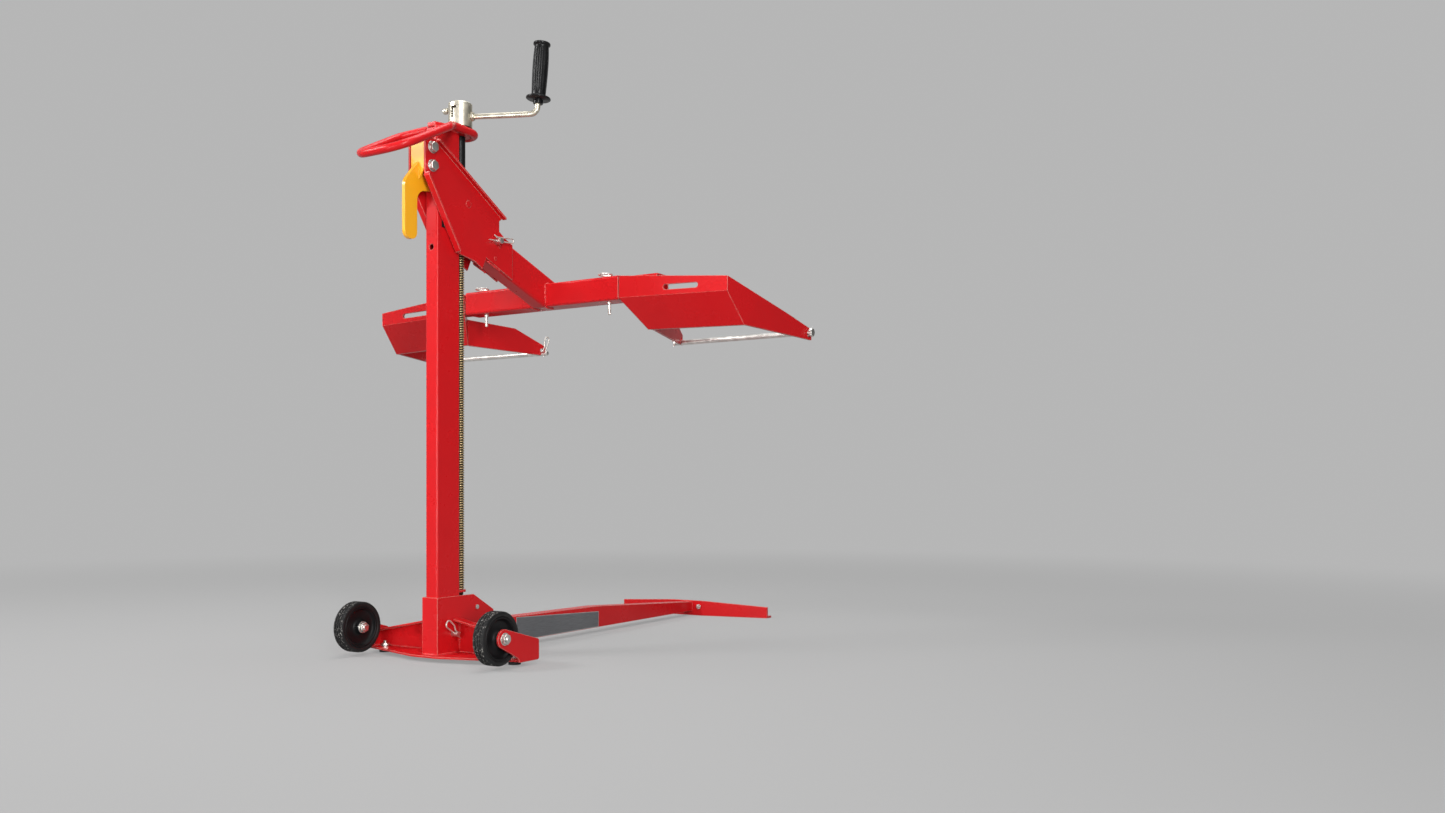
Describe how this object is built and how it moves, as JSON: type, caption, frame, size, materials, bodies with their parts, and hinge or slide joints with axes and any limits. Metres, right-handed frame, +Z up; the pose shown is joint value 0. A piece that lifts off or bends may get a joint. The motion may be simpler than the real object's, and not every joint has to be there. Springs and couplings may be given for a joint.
{
  "type": "lawn mower lift",
  "caption": "Upright screw lift: a crank raises a carriage with two adjustable wheel cradles on a post with a wheeled base and a long front beam.",
  "frame": {"origin": "on the floor under the middle of the post", "axes": "+X to the right of a person who stands behind the post and looks at the machine to be lifted, +Y forward along the long beam, +Z up"},
  "size_m": [1.1034, 1.1678, 1.2455],
  "materials": {
    "red_paint": "gloss powder coat",
    "zinc_steel": "zinc plated",
    "screw_steel": "yellow passivated, greased",
    "black_steel": "black oxide",
    "nut_bronze": "machined",
    "yellow_paint": "gloss powder coat",
    "black_plastic": "moulded",
    "tyre_rubber": "matt",
    "foot_rubber": "matt"
  },
  "bodies": {
    "frame": {"post": "red_paint", "top_plate": "red_paint", "handle_loop": "red_paint", "post_socket": "red_paint", "cross_beam": "red_paint", "forward_beam": "red_paint", "t_bar": "red_paint", "lower_bearing": "red_paint", "t_bar_bolt": "zinc_steel", "gusset_bolt": "zinc_steel", "base_pin": "zinc_steel", "axle_plate_left": "red_paint", "axle_plate_right": "red_paint", "axle_left": "zinc_steel", "axle_right": "zinc_steel", "foot_left": "foot_rubber", "foot_right": "foot_rubber", "foot_stud_left": "zinc_steel", "foot_stud_right": "zinc_steel"},
    "crank": {"lift_screw": "screw_steel", "screw_sleeve": "black_steel", "thrust_washer": "black_steel", "crank_head": "zinc_steel", "crank_knob": "zinc_steel", "crank_arm": "zinc_steel"},
    "grip": {"crank_grip": "black_plastic"},
    "carriage": {"side_plate_left": "red_paint", "side_plate_right": "red_paint", "side_liner_left": "black_plastic", "side_liner_right": "black_plastic", "guide_block": "black_plastic", "guide_bolt_lower": "zinc_steel", "guide_bolt_upper": "zinc_steel", "lift_nut": "nut_bronze", "front_pad": "black_plastic", "arm_tube": "red_paint", "cross_tube": "red_paint", "arm_pin": "zinc_steel"},
    "lever": {"safety_lever": "yellow_paint"},
    "base_clip_body": {"base_clip": "zinc_steel"},
    "arm_clip_body": {"arm_clip": "zinc_steel"},
    "wheel_left": {"tyre_left": "tyre_rubber", "hub_left": "black_plastic"},
    "cradle_left_body": {"cradle_tube_left": "red_paint", "cradle_left": "red_paint", "cradle_rod_left": "zinc_steel"},
    "lock_pin_left_body": {"lock_pin_left": "zinc_steel"},
    "lock_ring_left_body": {"lock_ring_left": "zinc_steel"},
    "rod_clip_left_body": {"rod_clip_left": "zinc_steel"},
    "wheel_right": {"tyre_right": "tyre_rubber", "hub_right": "black_plastic"},
    "cradle_right_body": {"cradle_tube_right": "red_paint", "cradle_right": "red_paint", "cradle_rod_right": "zinc_steel"},
    "lock_pin_right_body": {"lock_pin_right": "zinc_steel"},
    "lock_ring_right_body": {"lock_ring_right": "zinc_steel"},
    "rod_clip_right_body": {"rod_clip_right": "zinc_steel"}
  },
  "joints": [
    {"name": "crank_turn", "type": "hinge", "parent": "frame", "child": "crank", "pos_m": [0, 0.05, 1.0782], "axis": [0, 0, 1], "range_deg": [0, 43200]},
    {"name": "grip_spin", "type": "hinge", "parent": "crank", "child": "grip", "pos_m": [0.15063, 0.11332, 1.12065], "axis": [0.0643, 0.027, 0.9976], "continuous": true},
    {"name": "carriage_lift", "type": "slide", "parent": "frame", "child": "carriage", "axis": [0, 0, 1], "range_m": [-0.6, 0]},
    {"name": "lever_tilt", "type": "hinge", "parent": "carriage", "child": "lever", "pos_m": [0, -0.0523, 1.009], "axis": [1, 0, 0], "range_deg": [-15, 0]},
    {"name": "base_clip_pull", "type": "slide", "parent": "frame", "child": "base_clip_body", "axis": [0, -0.8387, 0.5446], "range_m": [0, 0.034]},
    {"name": "arm_clip_pull", "type": "slide", "parent": "carriage", "child": "arm_clip_body", "axis": [0, 0.9976, 0.0698], "range_m": [0, 0.046]},
    {"name": "wheel_left_spin", "type": "hinge", "parent": "frame", "child": "wheel_left", "pos_m": [-0.1855, -0.0525, 0.058], "axis": [1, 0, 0], "continuous": true},
    {"name": "cradle_left_width", "type": "slide", "parent": "carriage", "child": "cradle_left_body", "axis": [-1, 0, 0], "range_m": [0, 0.14]},
    {"name": "lock_pin_left_pull", "type": "slide", "parent": "carriage", "child": "lock_pin_left_body", "axis": [0, 0, 1], "range_m": [0, 0.08]},
    {"name": "lock_ring_left_tilt", "type": "hinge", "parent": "lock_pin_left_body", "child": "lock_ring_left_body", "pos_m": [-0.176, 0.325, 0.8049], "axis": [-1, 0, 0], "range_deg": [0, 90]},
    {"name": "rod_clip_left_pull", "type": "slide", "parent": "cradle_left_body", "child": "rod_clip_left_body", "axis": [-0.0272, 0.5, 0.8656], "range_m": [0, 0.034]},
    {"name": "wheel_right_spin", "type": "hinge", "parent": "frame", "child": "wheel_right", "pos_m": [0.1855, -0.0525, 0.058], "axis": [1, 0, 0], "continuous": true},
    {"name": "cradle_right_width", "type": "slide", "parent": "carriage", "child": "cradle_right_body", "axis": [1, 0, 0], "range_m": [0, 0.14]},
    {"name": "lock_pin_right_pull", "type": "slide", "parent": "carriage", "child": "lock_pin_right_body", "axis": [0, 0, 1], "range_m": [0, 0.08]},
    {"name": "lock_ring_right_tilt", "type": "hinge", "parent": "lock_pin_right_body", "child": "lock_ring_right_body", "pos_m": [0.176, 0.325, 0.8049], "axis": [-1, 0, 0], "range_deg": [0, 90]},
    {"name": "rod_clip_right_pull", "type": "slide", "parent": "cradle_right_body", "child": "rod_clip_right_body", "axis": [0.0272, 0.5, 0.8656], "range_m": [0, 0.034]}
  ],
  "couplings": [
    {"joint": "carriage_lift", "follows": "crank_turn", "m_per_rad": -0.00079577}
  ]
}
